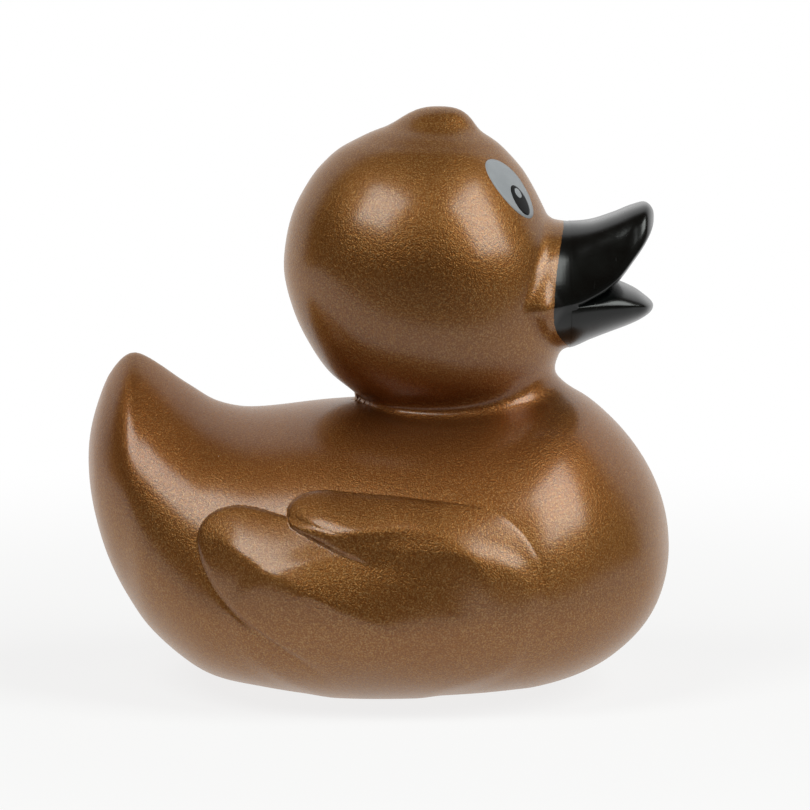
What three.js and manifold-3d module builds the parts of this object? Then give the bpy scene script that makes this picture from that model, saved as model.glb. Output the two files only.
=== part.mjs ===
// A satin bronze bath duck, 80 mm long: a hollow soft vinyl casting with a gloss black bill,
// printed eyes, and a reed squeaker pressed into the flat of its base.
// Millimetres. +X points out of the bill, +Y to the duck's left, +Z up.
// The origin is on the table, under the middle of the duck.

import * as THREE from 'three';
import { mergeVertices } from 'three/addons/utils/BufferGeometryUtils.js';
import Module from 'manifold-3d';

const wasm = await Module();
wasm.setup();

// Driving dimensions

// The casting, whose wall thickens by the ridge fill where the back is drawn up to a ridge
const wall = 2.0;
const ridgeFill = 2.0;
const seamGap = 0.3;

// Each form below is lofted through cross-sections. A section sits at a share of the form's
// half length from its middle. It holds its low and high edges in the duck's middle plane
// and the place of its widest line, as shares of the form's height, its half width as a
// share of the form's, and the roundness of its high half: 2 is an ellipse, less than 2
// draws it up to a ridge.

// The body hull, from the tail end to the chest. Its height is that of the tail tip.
const bodyLength = 80.3;
const bodyWidth = 66.0;
const bodyHeight = 46.1;
const bodySections = [
  { at: -1.0, low: 0.69, mid: 0.69, high: 0.69, half: 0, round: 2.0 },
  { at: -0.97, low: 0.495, mid: 0.66, high: 0.845, half: 0.26, round: 1.6 },
  { at: -0.925, low: 0.375, mid: 0.625, high: 0.94, half: 0.38, round: 1.4 },
  { at: -0.855, low: 0.26, mid: 0.58, high: 1.0, half: 0.5, round: 1.3 },
  { at: -0.787, low: 0.18, mid: 0.48, high: 0.983, half: 0.59, round: 1.35 },
  { at: -0.65, low: 0.08, mid: 0.37, high: 0.902, half: 0.72, round: 1.55 },
  { at: -0.56, low: 0.04, mid: 0.325, high: 0.855, half: 0.79, round: 1.7 },
  { at: -0.44, low: 0.018, mid: 0.295, high: 0.835, half: 0.865, round: 1.85 },
  { at: -0.165, low: -0.015, mid: 0.295, high: 0.857, half: 0.95, round: 2.0 },
  { at: 0.175, low: -0.014, mid: 0.31, high: 0.876, half: 1.0, round: 2.0 },
  { at: 0.5, low: 0.006, mid: 0.335, high: 0.909, half: 0.93, round: 2.0 },
  { at: 0.663, low: 0.04, mid: 0.34, high: 0.892, half: 0.835, round: 2.0 },
  { at: 0.8, low: 0.1, mid: 0.355, high: 0.805, half: 0.685, round: 2.0 },
  { at: 0.937, low: 0.222, mid: 0.385, high: 0.645, half: 0.43, round: 2.0 },
  { at: 1.0, low: 0.423, mid: 0.423, high: 0.423, half: 0, round: 2.0 },
];
const hullRoundness = 2.2;

// The head, an upright form from its foot, sunk in the back, to its top. Its low and high
// edges are its rear and its front, as shares of its half length from its upright axis.
const headHeight = 42.4;
const headLength = 39.4;
const headWidth = 38.8;
const headSetBack = 33.45;
const headSink = 5.6;
const headSections = [
  { at: -1.0, low: 0.22, mid: 0.22, high: 0.22, half: 0, round: 2.0 },
  { at: -0.86, low: -0.38, mid: 0.22, high: 0.755, half: 0.53, round: 2.0 },
  { at: -0.78, low: -0.435, mid: 0.2, high: 0.85, half: 0.61, round: 2.0 },
  { at: -0.7, low: -0.535, mid: 0.18, high: 0.9, half: 0.7, round: 2.0 },
  { at: -0.575, low: -0.695, mid: 0.13, high: 0.885, half: 0.81, round: 2.0 },
  { at: -0.38, low: -0.838, mid: 0.065, high: 0.955, half: 0.923, round: 2.0 },
  { at: -0.19, low: -0.934, mid: 0.025, high: 1.0, half: 0.98, round: 2.0 },
  { at: 0.045, low: -1.0, mid: 0.005, high: 0.99, half: 1.0, round: 2.0 },
  { at: 0.235, low: -0.995, mid: -0.005, high: 0.934, half: 0.98, round: 2.0 },
  { at: 0.445, low: -0.944, mid: -0.015, high: 0.83, half: 0.902, round: 2.0 },
  { at: 0.61, low: -0.858, mid: -0.02, high: 0.742, half: 0.794, round: 2.0 },
  { at: 0.76, low: -0.741, mid: -0.02, high: 0.638, half: 0.65, round: 2.0 },
  { at: 0.91, low: -0.528, mid: -0.015, high: 0.452, half: 0.423, round: 2.0 },
  { at: 1.0, low: -0.01, mid: -0.01, high: -0.01, half: 0, round: 2.0 },
];
const neckPassageHigh = 10.0;

// The crest, a soft tuft on a wider foot, with a curl at its front. Forward is from the
// head's upright axis, and up is from the head's top.
const tufts = [
  { forward: -0.8, up: -3.8, long: 19.4, wide: 15.0, high: 9.6 },
  { forward: 0.9, up: -1.3, long: 12.4, wide: 10.6, high: 8.9 },
  { forward: 3.7, up: 0.6, long: 4.6, wide: 4.4, high: 3.2 },
];

// The wing on each side, three overlapping feather lobes from the shoulder to the hip.
// Places and extents are shares of the body's half length, length and height.
const wingBulge = 1.5;
const wingLobes = [
  { at: 0.135, up: 0.42, long: 0.436, deep: 0.52, tilt: -4, bulge: 1.0 },
  { at: -0.225, up: 0.45, long: 0.374, deep: 0.34, tilt: 16, bulge: 0.8 },
  { at: -0.15, up: 0.295, long: 0.36, deep: 0.31, tilt: 20, bulge: 0.55 },
];

// The bill, an upper and a lower half that part at the mouth line. Sections run from the
// root, hidden in the head, to the tip, with heights counted from the mouth line.
const billReach = 11.4;
const billRootDepth = 16.4;
const billHeight = 20.4;
const billWidth = 17.2;
const mouthDrop = 2.1;
const upperBillSections = [
  { at: -1.0, low: 0.01, mid: 0.01, high: 0.01, half: 0, round: 2.4 },
  { at: -0.28, low: 0, mid: 0, high: 0.525, half: 1.55, round: 2.4 },
  { at: 0.17, low: 0, mid: 0, high: 0.51, half: 1.38, round: 2.7 },
  { at: 0.38, low: 0.025, mid: 0.03, high: 0.52, half: 1.3, round: 3.0 },
  { at: 0.59, low: 0.1, mid: 0.11, high: 0.564, half: 1.2, round: 3.2 },
  { at: 0.79, low: 0.265, mid: 0.27, high: 0.618, half: 1.06, round: 3.2 },
  { at: 0.93, low: 0.405, mid: 0.412, high: 0.637, half: 0.82, round: 3.0 },
  { at: 1.0, low: 0.56, mid: 0.56, high: 0.56, half: 0, round: 3.0 },
];
const lowerBillSections = [
  { at: -1.0, low: -0.09, mid: -0.09, high: -0.09, half: 0, round: 2.0 },
  { at: -0.28, low: -0.363, mid: -0.06, high: -0.015, half: 1.52, round: 2.0 },
  { at: 0.17, low: -0.338, mid: -0.05, high: -0.015, half: 1.34, round: 2.0 },
  { at: 0.38, low: -0.28, mid: -0.035, high: 0.005, half: 1.24, round: 2.0 },
  { at: 0.59, low: -0.225, mid: -0.03, high: 0.078, half: 1.12, round: 2.0 },
  { at: 0.79, low: -0.172, mid: -0.035, high: 0.07, half: 0.96, round: 2.0 },
  { at: 0.93, low: -0.118, mid: -0.045, high: 0.02, half: 0.72, round: 2.0 },
  { at: 1.0, low: -0.055, mid: -0.055, high: -0.055, half: 0, round: 2.0 },
];

// The raised bronze lip that the bill grows out of
const lipDepth = 10.0;
const lipRise = 0.4;
const lipMargin = 0.8;

// The printed eyes, ovals that stand upright on the head. Forward is from the head's upright
// axis, and up is from its middle.
const eyeForward = 11.4;
const eyeUp = 13.2;
const eyeTall = 10.2;
const eyeWide = 6.4;
const pupilTall = 5.0;
const pupilWide = 3.4;
const pupilDrop = 1.5;
const pupilForward = 0.9;
const glintSize = 1.4;
const glintDrop = 0.6;
const printThickness = 0.4;
const printClearance = 0.12;

// The squeaker, a flanged cup that snaps into the base, with a cap and a clamped reed
const squeakerX = 7.5;
const baseThickness = 3.2;
const basePadDiameter = 17.0;
const squeakerBore = 8.2;
const squeakerClearance = 0.15;
const flangeDiameter = 11.6;
const flangeThickness = 0.8;
const flangeSetBack = 0.5;
const cupWall = 0.9;
const cupHeight = 12.6;
const cupFloor = 1.2;
const soundHole = 3.6;
const barbProud = 0.5;
const barbHeight = 1.4;
const capThickness = 1.0;
const capSpigot = 1.2;
const capHole = 2.4;
const slipClearance = 0.1;
const reedThickness = 0.25;
const reedWidth = 2.6;
const reedFree = 6.4;
const reedRoot = 1.0;
const reedStandOff = 0.3;
const clampHeight = 2.0;
const channelWidth = 1.5;
const channelDepth = 1.1;
const shallotRadius = 1.9;

// Mesh fineness, in facets around each form and along it
const aroundBody = 36;
const alongBody = 32;
const aroundHead = 28;
const alongHead = 18;
const aroundHollow = 26;
const alongHollow = 20;
const aroundBill = 22;
const alongBill = 14;
const aroundSmall = 18;
const alongSmall = 10;
const aroundTurned = 24;

// Solids from three.js geometry, for cutting and joining

function solid(geometry) {
  const bare = geometry.clone();
  bare.deleteAttribute('normal');
  bare.deleteAttribute('uv');
  const merged = mergeVertices(bare, 1e-4);
  return new wasm.Manifold(new wasm.Mesh({
    numProp: 3,
    vertProperties: Float32Array.from(merged.attributes.position.array),
    triVerts: Uint32Array.from(merged.index.array),
  }));
}

function geometryOf(shape) {
  const mesh = shape.getMesh();
  const geometry = new THREE.BufferGeometry();
  geometry.setAttribute('position', new THREE.Float32BufferAttribute(mesh.vertProperties, 3));
  geometry.setIndex(Array.from(mesh.triVerts));
  geometry.computeVertexNormals();
  return geometry;
}

// The same form on the other side of the duck
function mirrored(geometry) {
  const copy = geometry.clone().scale(1, -1, 1);
  copy.index.array.reverse();
  copy.computeVertexNormals();
  return copy;
}

function box(x0, x1, y0, y1, z0, z1) {
  const block = new THREE.BoxGeometry(x1 - x0, y1 - y0, z1 - z0);
  return solid(block.translate((x0 + x1) / 2, (y0 + y1) / 2, (z0 + z1) / 2));
}

function upright(radius, z0, z1, x) {
  const rod = new THREE.CylinderGeometry(radius, radius, z1 - z0, aroundTurned);
  return solid(rod.rotateX(Math.PI / 2).translate(x, 0, (z0 + z1) / 2));
}

// A smooth curve through the values of one measure of the sections, read at an angle
// that runs from 0 at the high end to half a turn at the low end, so that ends come round
function measureAlong(sections, name) {
  const knots = sections.map((s) => ({ t: Math.acos(s.at), v: s[name] })).reverse();
  const slope = knots.map((k, i) => {
    const before = knots[Math.max(i - 1, 0)];
    const after = knots[Math.min(i + 1, knots.length - 1)];
    return (after.v - before.v) / (after.t - before.t);
  });
  return (t) => {
    let i = 0;
    while (i < knots.length - 2 && t > knots[i + 1].t) i += 1;
    const step = knots[i + 1].t - knots[i].t;
    const u = (t - knots[i].t) / step;
    const ease = u * u * (3 - 2 * u);
    const leave = u * (1 - u) * (1 - u) * step * slope[i];
    const arrive = u * u * (u - 1) * step * slope[i + 1];
    return knots[i].v * (1 - ease) + knots[i + 1].v * ease + leave + arrive;
  };
}

// A form lofted through sections between two ends, inset towards its inside.
// Its heights are counted from a base, in shares of the height, and its half widths likewise.
class Loft {
  constructor(sections, size, inset = 0) {
    this.middle = (size.from + size.to) / 2;
    this.halfLength = (size.to - size.from) / 2 - inset;
    this.size = size;
    this.inset = inset;
    for (const name of ['low', 'mid', 'high', 'half', 'round']) {
      this[name] = measureAlong(sections, name);
    }
  }

  section(place) {
    const { base, height, halfWidth } = this.size;
    const at = THREE.MathUtils.clamp((place - this.middle) / this.halfLength, -1, 1);
    const t = Math.acos(at);
    const mid = this.mid(t);
    const round = this.round(t);
    const margin = this.inset * Math.min(1, Math.sin(t) * 3);
    const ridgeMargin = margin * (1 + ridgeFill * Math.max(0, 2 - round));
    return {
      mid: base + height * mid,
      round,
      half: Math.max(halfWidth * this.half(t) - margin, 0),
      rise: Math.max(height * (this.high(t) - mid) - ridgeMargin, 0),
      drop: Math.max(height * (mid - this.low(t)) - margin, 0),
    };
  }

  halfWidthAt(place, level) {
    const s = this.section(place);
    const above = level > s.mid;
    const share = Math.min(Math.abs(level - s.mid) / (above ? s.rise : s.drop), 1);
    return s.half * (1 - share ** 2) ** (1 / (above ? s.round : hullRoundness));
  }

  highAt(place) {
    const s = this.section(place);
    return s.mid + s.rise;
  }

  lowAt(place) {
    const s = this.section(place);
    return s.mid - s.drop;
  }

  // A sphere with its poles at the two ends, each vertex moved out to its section
  geometry(around, along) {
    const ball = new THREE.SphereGeometry(1, around, along).rotateZ(Math.PI / 2);
    const points = ball.attributes.position;
    for (let i = 0; i < points.count; i += 1) {
      const place = this.middle + this.halfLength * points.getX(i);
      const turn = Math.atan2(points.getZ(i), points.getY(i));
      const s = this.section(place);
      const power = turn > 0 ? s.round : hullRoundness;
      const side = Math.sign(Math.cos(turn)) * Math.abs(Math.cos(turn)) ** (2 / power);
      const lift = Math.sin(turn) * (turn > 0 ? s.rise : s.drop);
      points.setXYZ(i, place, s.half * side, s.mid + lift);
    }
    return ball;
  }
}

// The outer forms

const chestX = bodyLength / 2;
const bodySize = {
  from: -chestX, to: chestX, base: 0, height: bodyHeight, halfWidth: bodyWidth / 2,
};
const body = new Loft(bodySections, bodySize);

const headX = chestX - headSetBack;
const headFoot = body.highAt(headX) - headSink;
const headTop = headFoot + headHeight;
const headMiddle = (headFoot + headTop) / 2;
const headSize = {
  from: headFoot, to: headTop, base: headX, height: headLength / 2, halfWidth: headWidth / 2,
};

// The head grown or shrunk by an offset, stood upright from the way it is lofted
function head(offset) {
  const lying = new Loft(headSections, headSize, -offset).geometry(aroundHead, alongHead);
  return solid(lying.rotateY(-Math.PI / 2).rotateZ(Math.PI));
}

function tuft(size) {
  const ball = new THREE.SphereGeometry(0.5, aroundSmall, alongSmall);
  ball.scale(size.long, size.wide, size.high);
  return solid(ball.translate(headX + size.forward, 0, headTop + size.up));
}

// A lens laid over the side of the body, so that its rim lies on the hull's surface
function wingLobe(lobe, side) {
  const lens = new THREE.SphereGeometry(0.5, aroundSmall, alongSmall);
  lens.scale(lobe.long * bodyLength, 2 * lobe.bulge * wingBulge, lobe.deep * bodyHeight);
  lens.rotateY(THREE.MathUtils.degToRad(lobe.tilt));
  lens.translate(lobe.at * chestX, 0, lobe.up * bodyHeight);
  const points = lens.attributes.position;
  for (let i = 0; i < points.count; i += 1) {
    const surface = body.halfWidthAt(points.getX(i), points.getZ(i));
    points.setY(i, points.getY(i) + surface);
  }
  return solid(side === 'left' ? lens : mirrored(lens));
}

// The bill halves, each cut to sit a seam gap clear of the head

const headFront = headX + headLength / 2;
const billSize = {
  from: headFront - billRootDepth,
  to: headFront + billReach,
  base: headMiddle - mouthDrop,
  height: billHeight,
  halfWidth: billWidth / 2,
};
const upperForm = new Loft(upperBillSections, billSize);
const lowerForm = new Loft(lowerBillSections, billSize);
const headCut = head(lipRise + seamGap);

function billHalf(form) {
  return solid(form.geometry(aroundBill, alongBill)).subtract(headCut);
}

// The lip is the bill's outline where it leaves the head, a margin larger, raised on the head
const lipBack = headFront - lipDepth;
const lipTop = upperForm.highAt(headFront) + lipMargin;
const lipFoot = lowerForm.lowAt(headFront) - lipMargin;
const lipHalfWide = upperForm.section(headFront).half + lipMargin;
const lipDisc = new THREE.CylinderGeometry(1, 1, 2 * lipDepth, aroundTurned);
lipDisc.rotateZ(Math.PI / 2).scale(1, lipHalfWide, (lipTop - lipFoot) / 2);
lipDisc.translate(lipBack + lipDepth, 0, (lipTop + lipFoot) / 2);
const lip = solid(lipDisc).intersect(head(lipRise));

// The right eye's place on the head, its outward direction and its upright direction

function eyePlace(x, z) {
  const side = new Loft(headSections, headSize);
  const step = headLength / 80;
  const slopeX = (side.halfWidthAt(z, x + step) - side.halfWidthAt(z, x - step)) / (2 * step);
  const slopeZ = (side.halfWidthAt(z + step, x) - side.halfWidthAt(z - step, x)) / (2 * step);
  const centre = new THREE.Vector3(x, -side.halfWidthAt(z, x), z);
  const outward = new THREE.Vector3(-slopeX, -1, -slopeZ).normalize();
  const tall = new THREE.Vector3(0, 0, 1).addScaledVector(outward, -outward.z).normalize();
  const wide = new THREE.Vector3().crossVectors(outward, tall);
  return { centre, outward, tall, wide };
}

const eye = eyePlace(headX + eyeForward, headMiddle + eyeUp);
const printReach = 3 * wall;

// An oval column through the head's surface at the right eye
function ovalColumn(tall, wide, rise, forward) {
  const column = new THREE.CylinderGeometry(0.5, 0.5, printReach, aroundTurned);
  column.scale(wide, 1, tall);
  const frame = new THREE.Matrix4().makeBasis(eye.wide, eye.outward, eye.tall);
  column.applyMatrix4(frame);
  const centre = eye.centre.clone();
  centre.addScaledVector(eye.tall, rise);
  centre.addScaledVector(eye.wide, -forward);
  return solid(column.translate(centre.x, centre.y, centre.z));
}

const pupilPlace = [-pupilDrop, pupilForward];
const glintPlace = [-glintDrop, pupilForward];
const slack = 2 * printClearance;
const printLayer = head(0).subtract(head(-printThickness));
const glintHole = ovalColumn(glintSize + slack, glintSize + slack, ...glintPlace);
const pupilHole = ovalColumn(pupilTall + slack, pupilWide + slack, ...pupilPlace);
const rightPrints = {
  eye_white: ovalColumn(eyeTall, eyeWide, 0, 0).subtract(pupilHole).intersect(printLayer),
  pupil: ovalColumn(pupilTall, pupilWide, ...pupilPlace).subtract(glintHole).intersect(printLayer),
  glint: ovalColumn(glintSize, glintSize, ...glintPlace).intersect(printLayer),
};
const recessColumn = ovalColumn(eyeTall + slack, eyeWide + slack, 0, 0);
const recess = recessColumn.subtract(head(-printThickness - seamGap));

// The casting: outer forms joined, then hollowed, then cut for the eyes and the squeaker

// A flat slab under the whole duck, up to a height
function slab(top) {
  const block = new THREE.BoxGeometry(2 * bodyLength, 2 * bodyWidth, bodyHeight);
  return solid(block.translate(0, 0, top - bodyHeight / 2));
}

function hollow() {
  const tank = new Loft(bodySections, bodySize, wall);
  const back = body.highAt(headX);
  const neck = new Loft(headSections, headSize).section(back);
  const passage = new THREE.CylinderGeometry(0.5, 0.5, neckPassageHigh, aroundTurned);
  const taken = 4 * wall;
  passage.rotateX(Math.PI / 2).scale(neck.rise + neck.drop - taken, 2 * neck.half - taken, 1);
  passage.translate(neck.mid + (neck.rise - neck.drop) / 2, 0, back);
  return solid(tank.geometry(aroundHollow, alongHollow))
    .add(head(-wall))
    .add(solid(passage))
    .subtract(slab(wall))
    .subtract(upright(basePadDiameter / 2, -baseThickness, baseThickness, squeakerX));
}

function casting() {
  let form = solid(body.geometry(aroundBody, alongBody)).add(head(0)).add(lip);
  for (const size of tufts) {
    form = form.add(tuft(size));
  }
  for (const lobe of wingLobes) {
    form = form.add(wingLobe(lobe, 'left')).add(wingLobe(lobe, 'right'));
  }
  const bore = upright(squeakerBore / 2, -wall, baseThickness + wall, squeakerX);
  const flangeSeat = flangeSetBack + flangeThickness + slipClearance;
  const seatRadius = flangeDiameter / 2 + squeakerClearance;
  const seat = upright(seatRadius, -wall, flangeSeat, squeakerX);
  return form
    .subtract(slab(0))
    .subtract(hollow())
    .subtract(bore)
    .subtract(seat)
    .subtract(recess)
    .subtract(solid(mirrored(geometryOf(recess))));
}

// The squeaker

const cupOuter = squeakerBore / 2 - squeakerClearance;
const cupInner = cupOuter - cupWall;
const cupBottom = flangeSetBack;
const cupTop = cupBottom + cupHeight;
const blockBottom = cupBottom + cupFloor + slipClearance;
const blockOuter = cupInner - slipClearance;
const clampTop = blockBottom + clampHeight;
const reedTop = clampTop + reedFree;

// A cup turned about its own axis, with a flange outside the duck and a snap barb inside it
function cup() {
  const barbFoot = baseThickness + squeakerClearance;
  const flangeTop = cupBottom + flangeThickness;
  const profile = [
    [soundHole / 2, cupBottom],
    [flangeDiameter / 2, cupBottom],
    [flangeDiameter / 2, flangeTop],
    [cupOuter, flangeTop],
    [cupOuter, barbFoot],
    [cupOuter + barbProud, barbFoot],
    [cupOuter, barbFoot + barbHeight],
    [cupOuter, cupTop],
    [cupInner, cupTop],
    [cupInner, cupBottom + cupFloor],
    [soundHole / 2, cupBottom + cupFloor],
    [soundHole / 2, cupBottom],
  ].map(([r, z]) => new THREE.Vector2(r, z));
  return new THREE.LatheGeometry(profile, aroundTurned).rotateX(Math.PI / 2);
}

// A cap with a spigot that presses into the cup
function cap() {
  const spigotFoot = cupTop + slipClearance - capSpigot;
  const profile = [
    [capHole / 2, spigotFoot],
    [blockOuter, spigotFoot],
    [blockOuter, cupTop + slipClearance],
    [cupOuter, cupTop + slipClearance],
    [cupOuter, cupTop + slipClearance + capThickness],
    [capHole / 2, cupTop + slipClearance + capThickness],
    [capHole / 2, spigotFoot],
  ].map(([r, z]) => new THREE.Vector2(r, z));
  return new THREE.LatheGeometry(profile, aroundTurned).rotateX(Math.PI / 2);
}

// The reed's flat face lies across the cup; the block is behind it and the wedge before it
const blockFace = -reedThickness / 2 - reedStandOff;
const rootFace = -reedThickness / 2 - slipClearance;

function reedBlock() {
  const plug = upright(blockOuter, blockBottom, clampTop, 0);
  const bar = upright(shallotRadius, blockBottom, reedTop + slipClearance, 0);
  const front = box(blockFace, cupInner, -cupInner, cupInner, clampTop, cupTop);
  const root = box(rootFace, cupInner, -cupInner, cupInner, 0, clampTop);
  const channelBack = blockFace - channelDepth;
  const channelTop = reedTop - channelDepth;
  const channel = box(channelBack, cupInner, -channelWidth / 2, channelWidth / 2, 0, channelTop);
  return plug.add(bar).subtract(front).subtract(root).subtract(channel);
}

function wedge() {
  const plug = upright(blockOuter, blockBottom, clampTop, 0);
  return plug.subtract(box(-cupInner, -rootFace, -cupInner, cupInner, 0, cupTop));
}

function reedTongue() {
  return new THREE.BoxGeometry(reedThickness, reedWidth, reedFree + reedRoot)
    .translate(0, 0, clampTop - reedRoot + (reedFree + reedRoot) / 2);
}

// Finishes

function finish(colour, roughness, metalness) {
  return new THREE.MeshStandardMaterial({ color: colour, roughness, metalness });
}

const bronzeCoat = () => finish('#8a5a38', 0.38, 0.75);
const blackGloss = () => finish('#070908', 0.15, 0);
const whiteInk = () => finish('#a9adb2', 0.3, 0);
const blackInk = () => finish('#101213', 0.25, 0);
const clearPlastic = () => finish('#e6e4dc', 0.35, 0);
const reedFilm = () => finish('#d8d2c0', 0.3, 0);

// The assembly

const duck = new THREE.Group();

function place(name, geometry, material, parent = duck) {
  const mesh = new THREE.Mesh(geometry, material);
  mesh.name = name;
  parent.add(mesh);
}

place('duck_shell', geometryOf(casting()), bronzeCoat());
place('upper_beak', geometryOf(billHalf(upperForm)), blackGloss());
place('lower_beak', geometryOf(billHalf(lowerForm)), blackGloss());

for (const side of ['right', 'left']) {
  const inks = { eye_white: whiteInk, pupil: blackInk, glint: whiteInk };
  for (const [print, shape] of Object.entries(rightPrints)) {
    const right = geometryOf(shape);
    place(`${side}_${print}`, side === 'right' ? right : mirrored(right), inks[print]());
  }
}

const squeaker = new THREE.Group();
squeaker.position.x = squeakerX;
duck.add(squeaker);
place('squeaker_housing', cup(), clearPlastic(), squeaker);
place('squeaker_cap', cap(), clearPlastic(), squeaker);
place('reed_block', geometryOf(reedBlock()), clearPlastic(), squeaker);
place('reed_wedge', geometryOf(wedge()), clearPlastic(), squeaker);
place('reed_tongue', reedTongue(), reedFilm(), squeaker);

export default duck;
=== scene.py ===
import math

import bmesh
import bpy
import numpy as np
from mathutils import Matrix, Vector
from mathutils.bvhtree import BVHTree


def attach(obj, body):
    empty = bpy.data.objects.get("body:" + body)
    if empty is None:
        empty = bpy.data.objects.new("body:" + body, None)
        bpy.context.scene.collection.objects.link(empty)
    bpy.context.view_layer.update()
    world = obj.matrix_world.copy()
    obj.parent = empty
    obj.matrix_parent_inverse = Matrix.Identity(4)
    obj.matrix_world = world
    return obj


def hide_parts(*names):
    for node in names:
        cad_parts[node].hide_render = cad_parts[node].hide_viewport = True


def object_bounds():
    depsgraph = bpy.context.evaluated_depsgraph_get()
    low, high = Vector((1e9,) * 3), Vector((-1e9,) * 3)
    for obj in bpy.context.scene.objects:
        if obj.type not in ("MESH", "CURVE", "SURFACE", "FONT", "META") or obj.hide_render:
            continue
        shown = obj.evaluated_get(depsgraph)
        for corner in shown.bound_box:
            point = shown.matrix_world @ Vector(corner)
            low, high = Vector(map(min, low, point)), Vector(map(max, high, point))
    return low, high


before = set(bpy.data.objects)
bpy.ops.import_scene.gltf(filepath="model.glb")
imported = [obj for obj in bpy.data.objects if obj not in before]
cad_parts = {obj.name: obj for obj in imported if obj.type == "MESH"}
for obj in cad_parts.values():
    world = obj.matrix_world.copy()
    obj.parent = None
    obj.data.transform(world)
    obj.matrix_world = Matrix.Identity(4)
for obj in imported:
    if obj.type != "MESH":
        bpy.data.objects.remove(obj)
cad_low, cad_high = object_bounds()


# The casting
# The body, head and crest of the duck are one hollow piece of soft black vinyl, rotocast in a
# metal mould and sprayed with a satin bronze lacquer full of fine metal flake. The wings, the
# tail and the folds at the bill's root are moulded in. Lengths are in millimetres.

MM = 0.001


class Form:
    """A rounded form lofted through sections between two ends.

    A section is (place from -1 to 1, low edge, widest line, high edge, half width, roundness
    of the high half). Its edges are shares of the height from a base, its half width a share
    of the form's. A roundness of 2 is an ellipse, and less draws the form up to a ridge."""

    def __init__(self, sections, start, end, base, height, half_width):
        table = np.array(sections, float)[::-1]
        self.turns = np.arccos(table[:, 0])
        self.rows = table[:, 1:]
        before = np.vstack((self.rows[:1], self.rows[:-1]))
        after = np.vstack((self.rows[1:], self.rows[-1:]))
        ahead = np.append(self.turns[1:], self.turns[-1])
        behind = np.append(self.turns[0], self.turns[:-1])
        self.slopes = (after - before) / (ahead - behind)[:, None]
        self.middle, self.half_length = (start + end) / 2, (end - start) / 2
        self.base, self.height, self.half_width = base, height, half_width

    def read(self, place):
        """The low edge, widest line, high edge, half width and roundness at each place."""
        at = np.clip((place - self.middle) / self.half_length, -1, 1)
        turn = np.arccos(at)
        last = len(self.turns) - 2
        i = np.clip(np.searchsorted(self.turns, turn, side="right") - 1, 0, last)
        step = (self.turns[i + 1] - self.turns[i])[:, None]
        u = (turn - self.turns[i])[:, None] / step
        ease = u * u * (3 - 2 * u)
        leave = u * (1 - u) ** 2 * step
        arrive = u * u * (u - 1) * step
        row = self.rows[i] * (1 - ease) + self.rows[i + 1] * ease
        row = row + self.slopes[i] * leave + self.slopes[i + 1] * arrive
        low, mid, high = (self.base + self.height * row[:, k] for k in range(3))
        return low, mid, high, self.half_width * row[:, 3], row[:, 4]


def places(bm):
    return np.array([v.co for v in bm.verts])


def move_to(bm, points):
    for vertex, point in zip(bm.verts, points.tolist()):
        vertex.co = point
    bm.normal_update()


HULL_ROUNDNESS = 2.2


def lofted(form, around, along, upright=False):
    """A ball with its poles at the form's two ends, each vertex moved out to its section."""
    bm = bmesh.new()
    bmesh.ops.create_uvsphere(bm, u_segments=around, v_segments=along, radius=1)
    side, lift, at = places(bm).T
    turn = np.arctan2(lift, side)
    place = form.middle + form.half_length * at
    low, mid, high, half, roundness = form.read(place)
    power = np.where(turn > 0, roundness, HULL_ROUNDNESS)
    across = half * np.sign(np.cos(turn)) * np.abs(np.cos(turn)) ** (2 / power)
    level = mid + np.sin(turn) * np.where(turn > 0, high - mid, mid - low)
    axes = (level, across, place) if upright else (place, across, level)
    move_to(bm, np.stack(axes, axis=1))
    bmesh.ops.recalc_face_normals(bm, faces=bm.faces)
    return bm


BODY_LENGTH, BODY_WIDTH, BODY_HEIGHT = 80.3, 66.0, 46.1
BODY = Form([
    (-1.0, 0.69, 0.69, 0.69, 0, 2.0), (-0.97, 0.495, 0.66, 0.845, 0.26, 1.6),
    (-0.925, 0.375, 0.625, 0.94, 0.38, 1.4), (-0.855, 0.26, 0.58, 1.0, 0.5, 1.3),
    (-0.787, 0.18, 0.48, 0.983, 0.59, 1.35), (-0.65, 0.08, 0.37, 0.902, 0.72, 1.55),
    (-0.56, 0.04, 0.325, 0.855, 0.79, 1.7), (-0.44, 0.018, 0.295, 0.835, 0.865, 1.85),
    (-0.165, -0.015, 0.295, 0.857, 0.95, 2.0), (0.175, -0.014, 0.31, 0.876, 1.0, 2.0),
    (0.5, 0.006, 0.335, 0.909, 0.93, 2.0), (0.663, 0.04, 0.34, 0.892, 0.835, 2.0),
    (0.8, 0.1, 0.355, 0.805, 0.685, 2.0), (0.937, 0.222, 0.385, 0.645, 0.43, 2.0),
    (1.0, 0.423, 0.423, 0.423, 0, 2.0),
], -BODY_LENGTH / 2, BODY_LENGTH / 2, 0, BODY_HEIGHT, BODY_WIDTH / 2)

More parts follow.
